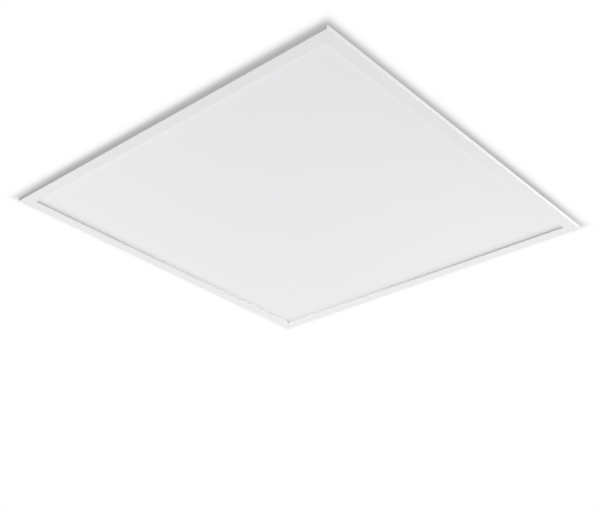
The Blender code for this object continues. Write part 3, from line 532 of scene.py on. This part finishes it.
def carved(mesh, cutters, name):
    """The mesh with each cutter taken out of it."""
    base = add_object(name, mesh)
    tools = []
    for cutter in cutters:
        tool = add_object("cutter", cutter)
        modifier = base.modifiers.new("carve", "BOOLEAN")
        modifier.object = tool
        modifier.operation = "DIFFERENCE"
        tools.append(tool)
    carved_base = base.evaluated_get(bpy.context.evaluated_depsgraph_get())
    done = bpy.data.meshes.new_from_object(carved_base)
    for thing in [base, *tools]:
        bpy.data.objects.remove(thing, do_unlink=True)
    return done


def soften(thing, width, degrees=SHARP):
    """Clears the facets' inner edges, rounds the real edges and keeps flat faces flat."""
    clean = thing.modifiers.new("clean", "DECIMATE")
    clean.decimate_type = "DISSOLVE"
    clean.angle_limit = math.radians(FLAT_DEGREES)
    bevel = thing.modifiers.new("edges", "BEVEL")
    bevel.width = width
    bevel.segments = 2
    bevel.limit_method = "ANGLE"
    bevel.angle_limit = math.radians(degrees)
    bevel.use_clamp_overlap = True
    bevel.harden_normals = True


def piece(name, mesh, slot, body, replaces=(), smooth=SHARP, bevel=0.0, matrix=None):
    """A visible piece with its slot's material, riding on its body."""
    thing = add_object(name, mesh)
    if matrix is not None:
        thing.matrix_world = matrix
    dress(thing, MATERIALS[slot])
    shade_smooth(thing, smooth)
    if bevel:
        soften(thing, bevel)
    if replaces:
        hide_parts(*replaces)
    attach(thing, body)


def middle(node):
    """The middle of a node's box at rest."""
    low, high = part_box(node)
    return (low + high) / 2


# Screws


SHANK_RADIUS = 1.25 * MM
HEAD_RADIUS = 2.8 * MM
HEAD_HEIGHT = 2.0 * MM
HEAD_RIM = 0.15 * MM  # the chamfer under the head
HEAD_FLAT = 0.42  # the share of the head, across and up, that its dome starts from
DOME_STEPS = 8
RECESS_REACH = 1.55 * MM  # from the head's middle to the end of a slot
RECESS_HALF = 0.34 * MM  # half a slot's width
RECESS_TAPER = 0.55  # the recess at its floor, as a share of its size above the head
RECESS_FLOOR = 0.3  # as a share of the head's height


def screw_mesh(length):
    """A pan-head screw with a tapered cross recess, its head's underside on z = 0."""
    profile = [
        (0, -length), (SHANK_RADIUS * 0.4, -length), (SHANK_RADIUS, -length + MM),
        (SHANK_RADIUS, 0), (HEAD_RADIUS - HEAD_RIM, 0), (HEAD_RADIUS, HEAD_RIM),
        (HEAD_RADIUS, HEAD_HEIGHT * HEAD_FLAT),
    ]
    for i in range(1, DOME_STEPS + 1):
        angle = math.pi / 2 * i / DOME_STEPS
        profile.append((
            HEAD_RADIUS * (HEAD_FLAT + (1 - HEAD_FLAT) * math.cos(angle)),
            HEAD_HEIGHT * (HEAD_FLAT + (1 - HEAD_FLAT) * math.sin(angle)),
        ))
    profile.append((0, HEAD_HEIGHT))
    blank = turned(profile, 36, "screw")
    arm = ((RECESS_HALF, RECESS_HALF), (RECESS_REACH, RECESS_HALF), (RECESS_REACH, -RECESS_HALF))
    outline = []
    for i in range(4):
        turn = Matrix.Rotation(-i * math.pi / 2, 2)
        outline += [tuple(turn @ Vector(p)) for p in arm]
    floor = [(x * RECESS_TAPER, y * RECESS_TAPER) for x, y in outline]
    low = HEAD_HEIGHT * RECESS_FLOOR
    cross = prism(floor, low, HEAD_HEIGHT + 0.4 * MM, "cross", 1 / RECESS_TAPER)
    return carved(blank, [cross], "screw")


def make_screws():
    """Each screw of the frame gets a finer one, its cross turned by its own angle in radians."""
    rows = [(f"plate_screw_{i}", 0.4 + i) for i in range(1, 5)]
    rows += [(f"clip_screw_{i}", 0.9 * i) for i in range(1, 9)]
    rows += [("cord_clamp_screw_front", 0.7), ("cord_clamp_screw_rear", 2.0)]
    meshes = {}
    for node, turn in rows:
        low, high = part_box(node)
        length = round((high.z - low.z - HEAD_HEIGHT) / MM, 2)
        if length not in meshes:
            meshes[length] = screw_mesh(length * MM)
        where = Matrix.Translation((middle(node).x, middle(node).y, high.z - HEAD_HEIGHT))
        matrix = where @ Matrix.Rotation(turn, 4, "Z")
        piece(f"{node}_head", meshes[length].copy(), "zinc_steel", "panel", [node], matrix=matrix)


# Spring clips


WIRE = 1.0 * MM  # the wire's radius
COIL = 3.7 * MM  # from the pin's axis to the middle of the wire
PITCH = 2.15 * MM  # from turn to turn
TURNS = 3
STEPS_PER_TURN = 22
WIRE_SIDES = 12
LEG = 12.3 * MM  # from the clip's middle to each leg
REACH = 39.4 * MM  # from the pin's axis to the loop's tip
BEND = 4.5 * MM  # the radius of the loop's corners
SLOPE = math.radians(5)  # of the loop at rest
SLEEVE = 1.4 * MM  # the sleeve's outer radius


def coil_point(angle, x):
    """A point of the coil, its angle in radians from +Y towards +Z."""
    return Vector((x, COIL * math.cos(angle), COIL * math.sin(angle)))


def spring_mesh():
    """The double torsion spring: two coils on the pin, and the loop that presses on the board."""
    count = STEPS_PER_TURN * TURNS
    half = []
    for i in range(count + 1):
        angle = math.pi / 2 + SLOPE + math.tau * (i - count) / STEPS_PER_TURN
        half.append(coil_point(angle, LEG - PITCH * (count - i) / STEPS_PER_TURN))
    leg = [
        (LEG, 0, COIL), (LEG, -REACH * 0.12, COIL * 0.93), (LEG, -REACH * 0.3, COIL * 0.45),
        (LEG, -REACH * 0.5, 0.3 * MM), (LEG, -REACH * 0.65, 0), (LEG, -REACH * 0.8, 0),
        (LEG, -REACH + BEND, 0),
    ]
    down = Matrix.Rotation(SLOPE, 3, "X")
    leg = smooth_path([down @ Vector(p) for p in leg], 4)
    bend = arc(LEG - BEND, -REACH + BEND, BEND, 0, -90, 8)
    half += leg[1:] + [down @ Vector((x, y, 0)) for x, y in bend[1:]]
    whole = half + [Vector((-p.x, p.y, p.z)) for p in reversed(half)]
    return tube(whole, WIRE, WIRE_SIDES, "spring")


def tail_mesh(side):
    """The spring's fixed end: the tail that bears on the bracket's base, and its first turn."""
    first = 1.7 * MM  # from the clip's middle to the tail
    along = 2.0 * MM  # how far the turn goes along the pin
    tail = [
        (first, 8.6 * MM, -5.1 * MM), (first, 7.9 * MM, -3.6 * MM), (first, 7.4 * MM, -0.6 * MM),
        (first, 6.0 * MM, 2.2 * MM), (first, 3.4 * MM, 3.6 * MM), (first, 1.4 * MM, COIL),
    ]
    turn = []
    for i in range(STEPS_PER_TURN + 1):
        angle = math.pi / 2 + math.radians(330) * i / STEPS_PER_TURN
        turn.append(coil_point(angle, first + along * i / STEPS_PER_TURN))
    path = smooth_path(tail, 4) + turn
    return tube([(side * p.x, p.y, p.z) for p in path], WIRE, WIRE_SIDES, "tail")


def sleeve_mesh():
    """A vinyl sleeve over the loop's tip, so that the wire does not mark the board."""
    half = 7.4 * MM
    bore = WIRE + 0.03 * MM
    lip = 0.18 * MM
    profile = [(bore, -half), (SLEEVE - lip, -half), (SLEEVE, -half + lip), (SLEEVE, half - lip)]
    profile += [(SLEEVE - lip, half), (bore, half)]
    mesh = turned(profile, 24, "sleeve", closed=True)
    mesh.transform(Matrix.Rotation(math.pi / 2, 4, "Y"))
    mesh.transform(Matrix.Rotation(SLOPE, 4, "X") @ Matrix.Translation((0, -REACH, 0)))
    return mesh


def pin_mesh(half):
    """The clip's pin along X, peened to a low dome at both ends."""
    radius = 1.5 * MM
    head = 2.4 * MM
    rim = 0.35 * MM
    dome = 0.75 * MM
    inner = half - rim - dome
    steps = 6
    side = [(head, inner), (head, inner + rim)]
    for i in range(1, steps + 1):
        angle = math.pi / 2 * i / steps
        side.append((head * (0.35 + 0.65 * math.cos(angle)), inner + rim + dome * math.sin(angle)))
    side.append((0, half))
    profile = [(r, -z) for r, z in reversed(side)] + [(radius, -inner), (radius, inner)] + side
    mesh = turned(profile, 32, "pin")
    mesh.transform(Matrix.Rotation(math.pi / 2, 4, "Y"))
    return mesh


def make_clips():
    """At each corner, the sprung loop rides on its arm, and the tails and the pin on the panel."""
    for corner in CORNERS:
        pin = f"clip_pin_{corner}"
        arm = f"arm_{corner}"
        centre = middle(pin)
        turn = Matrix.Rotation(0 if centre.y < 0 else math.pi, 4, "Z")
        matrix = Matrix.Translation(centre) @ turn
        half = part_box(pin)[1].x - centre.x
        replaced = [f"clip_arm_{corner}"]
        piece(
            f"spring_{corner}", spring_mesh(), "spring_steel", arm, replaced, ROUND, matrix=matrix
        )
        piece(f"spring_sleeve_{corner}", sleeve_mesh(), "rubber_black", arm, matrix=matrix)
        for end, side in (("left", -1), ("right", 1)):
            name = f"spring_tail_{end}_{corner}"
            piece(name, tail_mesh(side), "spring_steel", "panel", smooth=ROUND, matrix=matrix)
        piece(f"{pin}_peened", pin_mesh(half), "zinc_steel", "panel", [pin], matrix=matrix)
        soften(NODES[f"clip_bracket_{corner}"], 0.22 * MM)


# Driver


KNUCKLE = 1.9 * MM  # the hinge's knuckles stand this far above the case's top
SLIDER_STEP = 2.5 * MM  # between two of the selector's places
OVER = 1.0 * MM  # a cutter goes this far past the face that it cuts


def moulding(name, node, cutters, slot, bevel, body="panel"):
    """The frame's own shape for a node with moulded detail sunk into it, and its edges rounded."""
    mesh = carved(NODES[node].data.copy(), cutters, node)
    piece(name, mesh, slot, body, [node], MOULDED_SHARP, bevel)


def block(x, y, half_x, half_y, low, high):
    """A plain cutter round a middle line."""
    outline = [
        (x - half_x, y - half_y), (x + half_x, y - half_y),
        (x + half_x, y + half_y), (x - half_x, y + half_y),
    ]
    return prism(outline, low, high, "block")


def sunk(x0, x1, y, half_y, radius, top, depth):
    """A cutter with rounded corners, sunk from a level down to its depth."""
    return prism(rounded(x0, y - half_y, x1, y + half_y, radius), top - depth, top + OVER, "sunk")


def make_lid():
    """The lid gets a sunk field and seven cooling grooves."""
    low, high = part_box("driver_lid")
    base_low, base_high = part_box("driver_base")
    y = (base_low.y + base_high.y) / 2
    top = high.z - KNUCKLE
    field = (low.x + 12 * MM, low.x + 66 * MM)
    cutters = [sunk(*field, y, 15 * MM, 2 * MM, top, 0.35 * MM)]
    for i in range(7):
        x = high.x - 8 * MM - i * 5 * MM
        cutters.append(sunk(x - 0.8 * MM, x + 0.8 * MM, y, 16 * MM, 0.79 * MM, top, 0.6 * MM))
    moulding("driver_lid_moulded", "driver_lid", cutters, "case_plastic", 0.4 * MM)


def make_cover():
    """The terminal cover gets three grip grooves by its thumb tab."""
    low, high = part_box("terminal_cover")
    y = (low.y + high.y) / 2
    top = high.z - KNUCKLE
    cutters = []
    for i in range(3):
        x = low.x + 5.5 * MM + i * 2.2 * MM
        cutters.append(sunk(x - 0.5 * MM, x + 0.5 * MM, y, 8 * MM, 0.49 * MM, top, 0.5 * MM))
    moulding(
        "terminal_cover_moulded", "terminal_cover", cutters, "case_plastic", 0.35 * MM,
        "terminal_cover",
    )


def make_base():
    """The base gets latch windows along both sides and a mark over each place of the selector."""
    low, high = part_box("driver_base")
    knob = middle("cct_slider")
    cutters = []
    for y in (low.y, high.y):
        for x in (low.x + 12 * MM, low.x + 55 * MM, low.x + 125 * MM):
            span = (high.z - 3.6 * MM, high.z - 1.6 * MM)
            cutters.append(block(x, y, 3 * MM, 0.5 * MM, *span))
    for step in (-1, 0, 1):
        x = knob.x + step * SLIDER_STEP
        span = (knob.z + 2.4 * MM, knob.z + 3.9 * MM)
        cutters.append(block(x, low.y, 0.25 * MM, 0.3 * MM, *span))
    moulding("driver_base_moulded", "driver_base", cutters, "case_plastic", 0.3 * MM)


def make_knob():
    """The selector's knob gets three grip grooves across its tip."""
    low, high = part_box("cct_slider")
    cutters = []
    for i in (-1, 0, 1):
        x = (low.x + high.x) / 2 + i * 0.9 * MM
        cutters.append(block(x, low.y, 0.2 * MM, 0.35 * MM, low.z - OVER, high.z + OVER))
    moulding("cct_knob", "cct_slider", cutters, "switch_black", 0.12 * MM, "cct_slider")


def make_buttons():
    """Each release button gets a slot for a screwdriver's tip."""
    for end in ENDS:
        node = f"release_button_{end}"
        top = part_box(node)[1].z
        centre = middle(node)
        slot = block(centre.x, centre.y, 1.3 * MM, 0.3 * MM, top - 0.5 * MM, top + OVER)
        moulding(f"{node}_cap", node, [slot], "button_orange", 0.2 * MM, node)


# Lead


LEAD_RADIUS = 1.6 * MM
LEAD_Y = 227 * MM  # the driver's middle line
LEAD_EXIT_Z = 18.8 * MM


def make_grommet():
    """A turned rubber grommet: a groove that holds the sheet's edge and a rounded head above it."""
    low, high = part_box("lead_grommet")
    centre = middle("lead_grommet")
    radius = (high.x - low.x) / 2
    bore = 1.75 * MM
    neck = 2.05 * MM  # the groove's floor
    foot = 2.6 * MM
    curve = 0.75 * MM  # the head's rounding
    groove_low = SHEET_TOP - 0.6 * MM - 0.1 * MM
    groove_high = SHEET_TOP + 0.1 * MM
    profile = [
        (bore, low.z), (foot - 0.2 * MM, low.z), (foot, low.z + 0.2 * MM), (foot, groove_low),
        (neck, groove_low), (neck, groove_high), (radius - 0.15 * MM, groove_high),
        (radius, SHEET_TOP + 0.3 * MM),
    ]
    for angle in (0.0, 0.4, 0.8, 1.2, math.pi / 2):
        x = radius - curve * (1 - math.cos(angle))
        profile.append((x, high.z - curve * (1 - math.sin(angle))))
    profile += [(bore + 0.25 * MM, high.z), (bore, high.z - 0.25 * MM)]
    mesh = turned(profile, 40, "grommet", closed=True)
    mesh.transform(Matrix.Translation((centre.x, centre.y, 0)))
    piece("lead_grommet_turned", mesh, "rubber_black", "panel", ["lead_grommet"], 40)


def make_lead():
    """The supply lead along its route in part.py.

    It goes out of the driver, under its saddle and down through the grommet into the corner.
    """
    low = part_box("supply_lead")[0]
    x = low.x
    y = LEAD_Y
    lie = SHEET_TOP + LEAD_RADIUS + 0.4 * MM  # the lead's middle where it lies on the plate
    end = middle("lead_grommet").x
    route = [
        (x, y, LEAD_EXIT_Z), (x + 9 * MM, y, LEAD_EXIT_Z), (x + 22 * MM, y, lie + 1.5 * MM),
        (x + 34 * MM, y, lie), (x + 44 * MM, y, lie), (x + 54 * MM, y, lie),
        (x + 63 * MM, y, lie), (x + 78 * MM, y + 6 * MM, lie + MM),
        (end - 12 * MM, end - 27 * MM, lie + 4 * MM), (end - 2 * MM, end - 10 * MM, lie + 9 * MM),
        (end, end - MM, lie + 7 * MM), (end, end, SHEET_TOP + 2 * MM),
        (end, end, SHEET_TOP - 2.6 * MM), (end, end, low.z),
    ]
    mesh = tube(smooth_path(route, 8), LEAD_RADIUS, 20, "supply_lead")
    piece("supply_lead_sheath", mesh, "lead_pvc", "panel", ["supply_lead"], ROUND)


def soften_cad_nodes():
    """CAD nodes that stay get rounded edges by modifiers, which leave their meshes as they are."""
    widths = {f"frame_rail_{side}": 0.2 for side in (*ENDS, "left", "right")}
    widths |= {f"corner_key_{corner}": 0.2 for corner in CORNERS}
    widths |= {"cord_clamp": 0.3, "lead_clip": 0.25, "terminal_block": 0.25}
    widths |= {"cct_switch_body": 0.2}
    for node, width in widths.items():
        soften(NODES[node], width * MM)
    soften(NODES["back_plate"], 0.18 * MM, degrees=20)


def make_pieces():
    make_screws()
    make_clips()
    make_lid()
    make_cover()
    make_base()
    make_knob()
    make_buttons()
    make_grommet()
    make_lead()
    soften_cad_nodes()


# Stage


CEILING_Z = 6.25 * MM  # just clear of the rim's top
CEILING_HALF = 8
FLOOR_Z = -3.4
DOME_RADIUS = 24  # well inside the clip end of any view's camera
SHADOW_CORNER = 12 * MM  # how far the contact shadow's corners are rounded
SHADOW_START = HALF - 0.1 * MM
SHADOW_SPREAD = 82 * MM * MM  # the square of the distance at which it has faded to 37%
SHADOW_COLOUR = (0.495, 0.483, 0.478)


def stage_piece(name, shape, material):
    """A piece of the room: the camera sees it, and it neither blocks nor gives light."""
    mesh = bpy.data.meshes.new(name)
    shape.to_mesh(mesh)
    shape.free()
    thing = add_object(name, mesh)
    dress(thing, material)
    for ray in ("diffuse", "glossy", "transmission", "volume_scatter", "shadow"):
        setattr(thing, f"visible_{ray}", False)


def square(z, half, up):
    """One level face, its front side up or down."""
    corners = [(-half, half), (half, half), (half, -half), (-half, -half)]
    shape = bmesh.new()
    shape.faces.new([shape.verts.new((x, y, z)) for x, y in (corners[::-1] if up else corners)])
    return shape


def ceiling_material():
    """A white ceiling seen only from the room, with the panel's soft contact shadow round it.

    The shadow weakens along x + y, towards the corner that is farthest from the camera.
    """
    g = Graph("ceiling_paint")
    g.tree.nodes.remove(g.shader)
    axes = g.axes()
    outside = g.add("ShaderNodeMath", operation="SMOOTH_MAX")
    g.link(g.math("ABSOLUTE", axes["X"]), outside.inputs[0])
    g.link(g.math("ABSOLUTE", axes["Y"]), outside.inputs[1])
    outside.inputs[2].default_value = SHADOW_CORNER
    reach = g.math("SUBTRACT", outside.outputs[0], SHADOW_START)
    fall = g.math("EXPONENT", g.math("DIVIDE", g.times(reach, reach), -SHADOW_SPREAD))
    near = g.spread(g.plus(axes["X"], axes["Y"]), -0.1, 0.1, 1.0, 0.4)
    colour = g.mix(g.times(fall, near), (1.0, 1.0, 1.0), SHADOW_COLOUR)
    emission = g.add("ShaderNodeEmission")
    g.link(colour, emission.inputs["Color"])
    back = g.add("ShaderNodeNewGeometry").outputs["Backfacing"]
    clear = g.add("ShaderNodeBsdfTransparent")
    both = g.add("ShaderNodeMixShader")
    g.link(back, both.inputs[0])
    g.link(emission.outputs[0], both.inputs[1])
    g.link(clear.outputs[0], both.inputs[2])
    g.link(both.outputs[0], g.tree.nodes["Material Output"].inputs["Surface"])
    return g.material


def backdrop_material():
    """Pale grey paint, evenly lit."""
    g = Graph("backdrop_paint")
    tone = g.mix(g.noise(0.02, 2), (0.74, 0.74, 0.745), (0.76, 0.76, 0.765))
    glow = g.add("ShaderNodeEmission")
    g.link(tone, glow.inputs["Color"])
    g.link(glow.outputs[0], g.tree.nodes["Material Output"].inputs["Surface"])
    return g.material


def make_stage():
    """A ceiling seen from below, and a floor and a dome for the views from above."""
    stage_piece("ceiling", square(CEILING_Z, CEILING_HALF, up=False), ceiling_material())
    paint = backdrop_material()
    stage_piece("floor", square(FLOOR_Z, DOME_RADIUS, up=True), paint)
    dome = bmesh.new()
    bmesh.ops.create_uvsphere(dome, u_segments=48, v_segments=24, radius=DOME_RADIUS)
    stage_piece("backdrop", dome, paint)


def make_world():
    world = bpy.data.worlds.new("studio")
    bpy.context.scene.world = world
    world.use_nodes = True
    background = world.node_tree.nodes["Background"]
    background.inputs["Color"].default_value = (1.0, 0.995, 0.99, 1)
    background.inputs["Strength"].default_value = 0.42


def area_light(name, where, at, size, watts, colour=(1, 1, 1), spread=180):
    """A round lamp of a given width, aimed at a point. Its spread is in degrees."""
    data = bpy.data.lights.new(name, "AREA")
    data.shape = "DISK"
    data.size = size
    data.energy = watts
    data.color = colour
    data.spread = math.radians(spread)
    lamp = add_object(name, data)
    lamp.location = where
    lamp.rotation_euler = (Vector(at) - Vector(where)).to_track_quat("-Z", "Y").to_euler()
    lamp.visible_camera = False
    return lamp


def link_light(lamp, nodes, state="INCLUDE"):
    """Lights only these nodes, or everything but them."""
    group = bpy.data.collections.new(f"{lamp.name}_nodes")
    for node in nodes:
        group.objects.link(NODES[node])
    lamp.light_linking.receiver_collection = group
    for entry in group.collection_objects:
        entry.light_linking.link_state = state


def make_lights():
    """The side key tells the four sides apart. The far pair and below_soft light the face.

    Each wash is weak and narrow, and lights the inner wall of one far rail. top_soft is for the
    views of the back.
    """
    middle_point = (0, 0, 0)
    far_tint = (1.0, 0.997, 1.0)
    side_key = area_light("side_key", (1.3, -2.3, 0.12), (0, -HALF, 0), 1.0, 46)
    link_light(side_key, ["frame_rail_rear"], "EXCLUDE")
    area_light("far_right", (3.8, 1.2, -1.4), middle_point, 1.9, 40, far_tint)
    area_light("far_left", (1.3, 3.7, -1.4), middle_point, 1.9, 42, far_tint)
    area_light("below_soft", (0.1, 0.2, -2.8), middle_point, 1.5, 30)
    washes = (
        ("right", (-1.5, 0.6, -0.25), (HALF, 0.28, 0), 0.36, 28),
        ("rear", (0.6, -1.5, -0.25), (0.28, HALF, 0), 0.52, 34),
    )
    for side, where, at, watts, spread in washes:
        wash = area_light(f"{side}_wash", where, at, 0.3, watts, spread=spread)
        link_light(wash, [f"frame_rail_{side}"])
    area_light("top_soft", (-0.9, 0.9, 2.8), middle_point, 2.0, 34)


# Camera, solved from the photo on the panel's square


CAMERA_PLACE = (-0.9879, -0.8859, -0.7774)
CAMERA_TURN = (312.0, -28.08, 1.309)  # azimuth, elevation and roll in degrees
CAMERA_LENS = 61.6


def make_camera():
    """Looks up at the panel from the room, from beyond its front left corner."""
    azimuth, elevation, roll = (math.radians(a) for a in CAMERA_TURN)
    back = Vector((
        math.sin(azimuth) * math.cos(elevation),
        -math.cos(azimuth) * math.cos(elevation),
        math.sin(elevation),
    ))
    right = (-back).cross(Vector((0, 0, 1))).normalized()
    up = right.cross(-back)
    rolled_right = right * math.cos(roll) + up * math.sin(roll)
    rolled_up = up * math.cos(roll) - right * math.sin(roll)
    data = bpy.data.cameras.new("camera")
    data.sensor_width = 36
    data.lens = CAMERA_LENS
    data.clip_start = 0.05
    data.clip_end = 200
    camera = add_object("camera", data)
    camera.matrix_world = Matrix((rolled_right, rolled_up, back)).transposed().to_4x4()
    camera.location = CAMERA_PLACE
    bpy.context.scene.camera = camera


def clear_startup():
    """Takes away the camera, light and cube of Blender's own startup scene."""
    for thing in list(bpy.data.objects):
        cube = thing.name == "Cube" and "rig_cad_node" not in thing
        if cube or thing.type in ("CAMERA", "LIGHT"):
            bpy.data.objects.remove(thing, do_unlink=True)


clear_startup()
bpy.context.scene.view_settings.view_transform = "Standard"
dress_cad_nodes()
make_pieces()
make_stage()
make_world()
make_lights()
make_camera()
